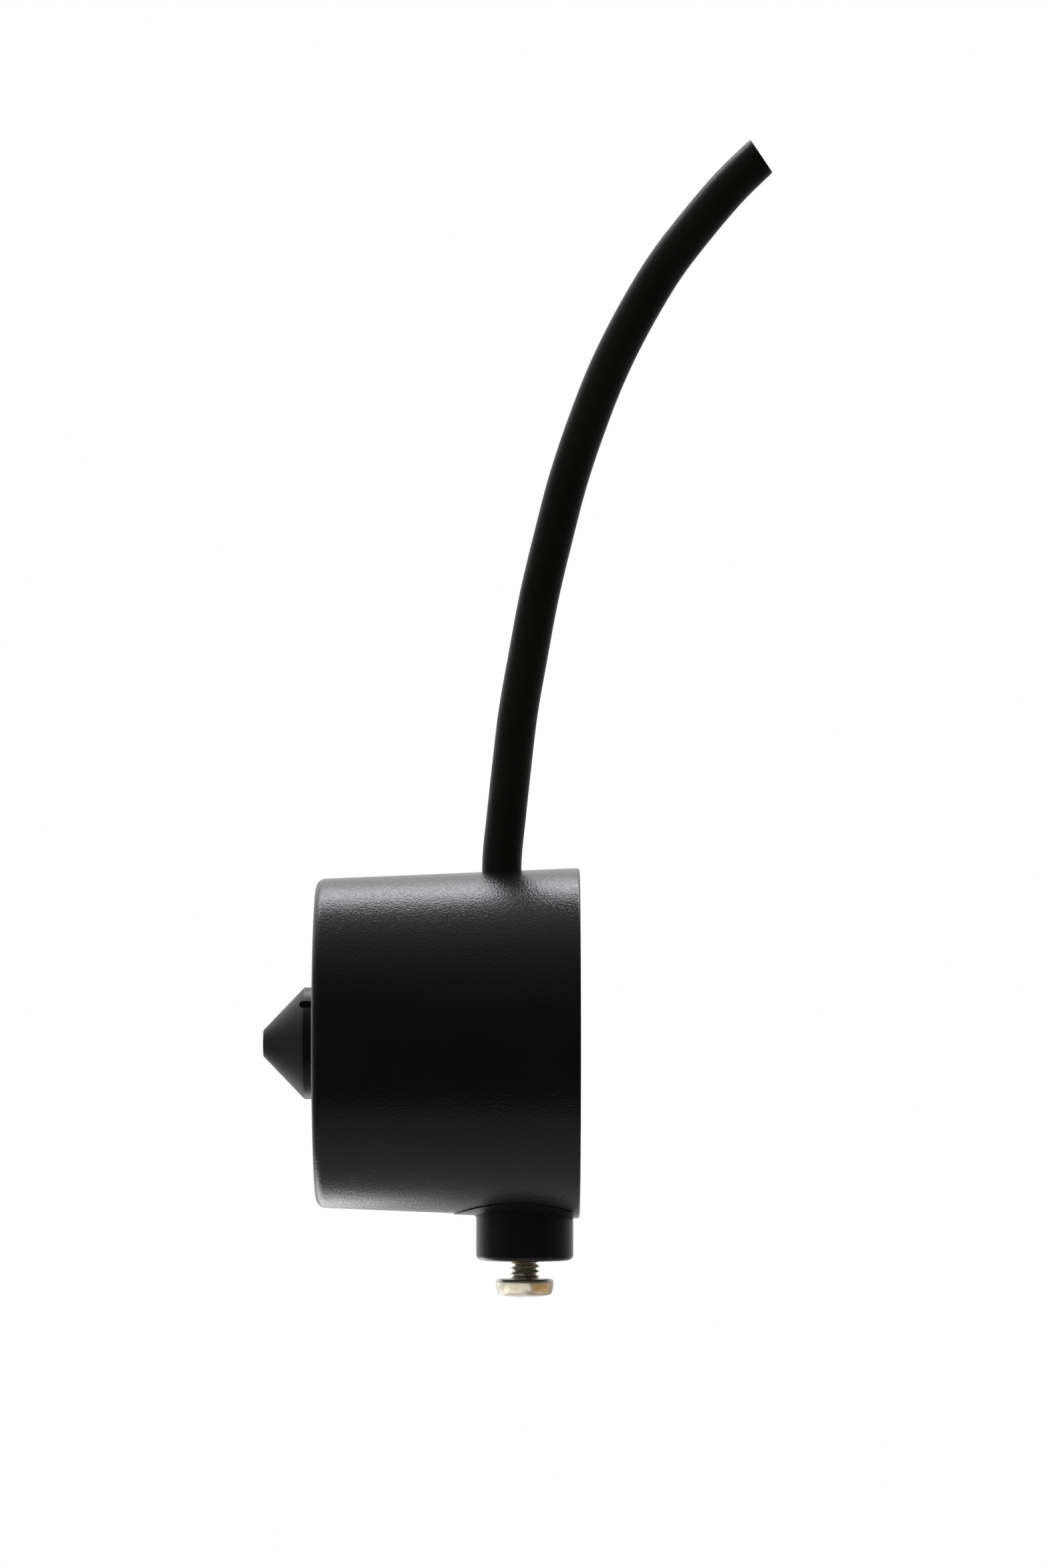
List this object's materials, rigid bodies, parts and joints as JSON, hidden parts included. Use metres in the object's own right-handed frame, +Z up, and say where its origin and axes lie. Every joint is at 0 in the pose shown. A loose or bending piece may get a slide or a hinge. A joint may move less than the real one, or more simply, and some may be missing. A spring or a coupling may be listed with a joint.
{
  "type": "pinhole camera head",
  "caption": "Tapered round camera head with a cone-nosed pinhole lens, a short stiff lead leaving the top and a clamp-screw mounting boss underneath.",
  "frame": {"origin": "centre of the mounting boss's flat end face, where a bracket's plate lies", "axes": "+Z up from the boss through the housing to the lead; the lens looks along -X; Y is sideways"},
  "size_m": [0.0697, 0.048, 0.1585],
  "materials": {
    "housing_plastic": "fine spark-eroded texture, satin",
    "cover_plastic": "fine texture, satin",
    "black_rubber": "matt",
    "black_steel": "black zinc, satin",
    "brass": "turned",
    "nickel_screw": "bright nickel plate",
    "zinc_screw": "zinc plate",
    "black_anodised": "black anodised, satin",
    "lens_glass": "polished, coated",
    "filter_glass": "polished, pale cyan",
    "foam": "closed-cell foam",
    "holder_plastic": "glass-filled nylon, matt",
    "board": "green solder mask",
    "chip": "moulded epoxy, matt",
    "sensor_package": "dark ceramic",
    "capacitor_can": "drawn can",
    "connector_black": "moulded",
    "connector_ivory": "nylon",
    "red_insulation": "PVC",
    "black_insulation": "PVC",
    "yellow_insulation": "PVC",
    "white_insulation": "PVC",
    "tie_nylon": "natural nylon",
    "cable_jacket": "satin PVC"
  },
  "bodies": {
    "head": {"housing": "housing_plastic", "rear_cover": "cover_plastic", "cover_gasket": "black_rubber", "cover_screws": "black_steel", "boss_insert": "brass", "dust_seal": "foam", "lens_holder": "holder_plastic", "lock_screw": "zinc_screw", "holder_screws": "zinc_screw", "ir_filter": "filter_glass", "sensor_glass": "lens_glass", "image_sensor": "sensor_package", "sensor_board": "board", "sensor_board_chips": "chip", "power_board": "board", "power_board_chips": "chip", "filter_capacitors": "capacitor_can", "link_header": "connector_black", "link_socket": "connector_black", "board_spacers": "brass", "board_screws": "zinc_screw", "wire_header": "connector_ivory", "wire_plug": "connector_ivory", "wire_red": "red_insulation", "wire_black": "black_insulation", "wire_yellow": "yellow_insulation", "wire_white": "white_insulation", "cable_tie": "tie_nylon", "cable": "cable_jacket"},
    "lens": {"lens_barrel": "black_anodised", "front_element": "lens_glass", "middle_element": "lens_glass", "lens_spacer": "black_anodised", "rear_element": "lens_glass", "retaining_ring": "black_anodised"},
    "clamp_screw": {"clamp_screw": "nickel_screw"}
  },
  "joints": [
    {"name": "lens_focus", "type": "hinge", "parent": "head", "child": "lens", "pos_m": [-0.0285, 0, 0.0297], "axis": [1, 0, 0], "range_deg": [-180, 180]},
    {"name": "clamp_screw_travel", "type": "slide", "parent": "head", "child": "clamp_screw", "axis": [0, 0, 1], "range_m": [-0.004, 0.0025]}
  ]
}
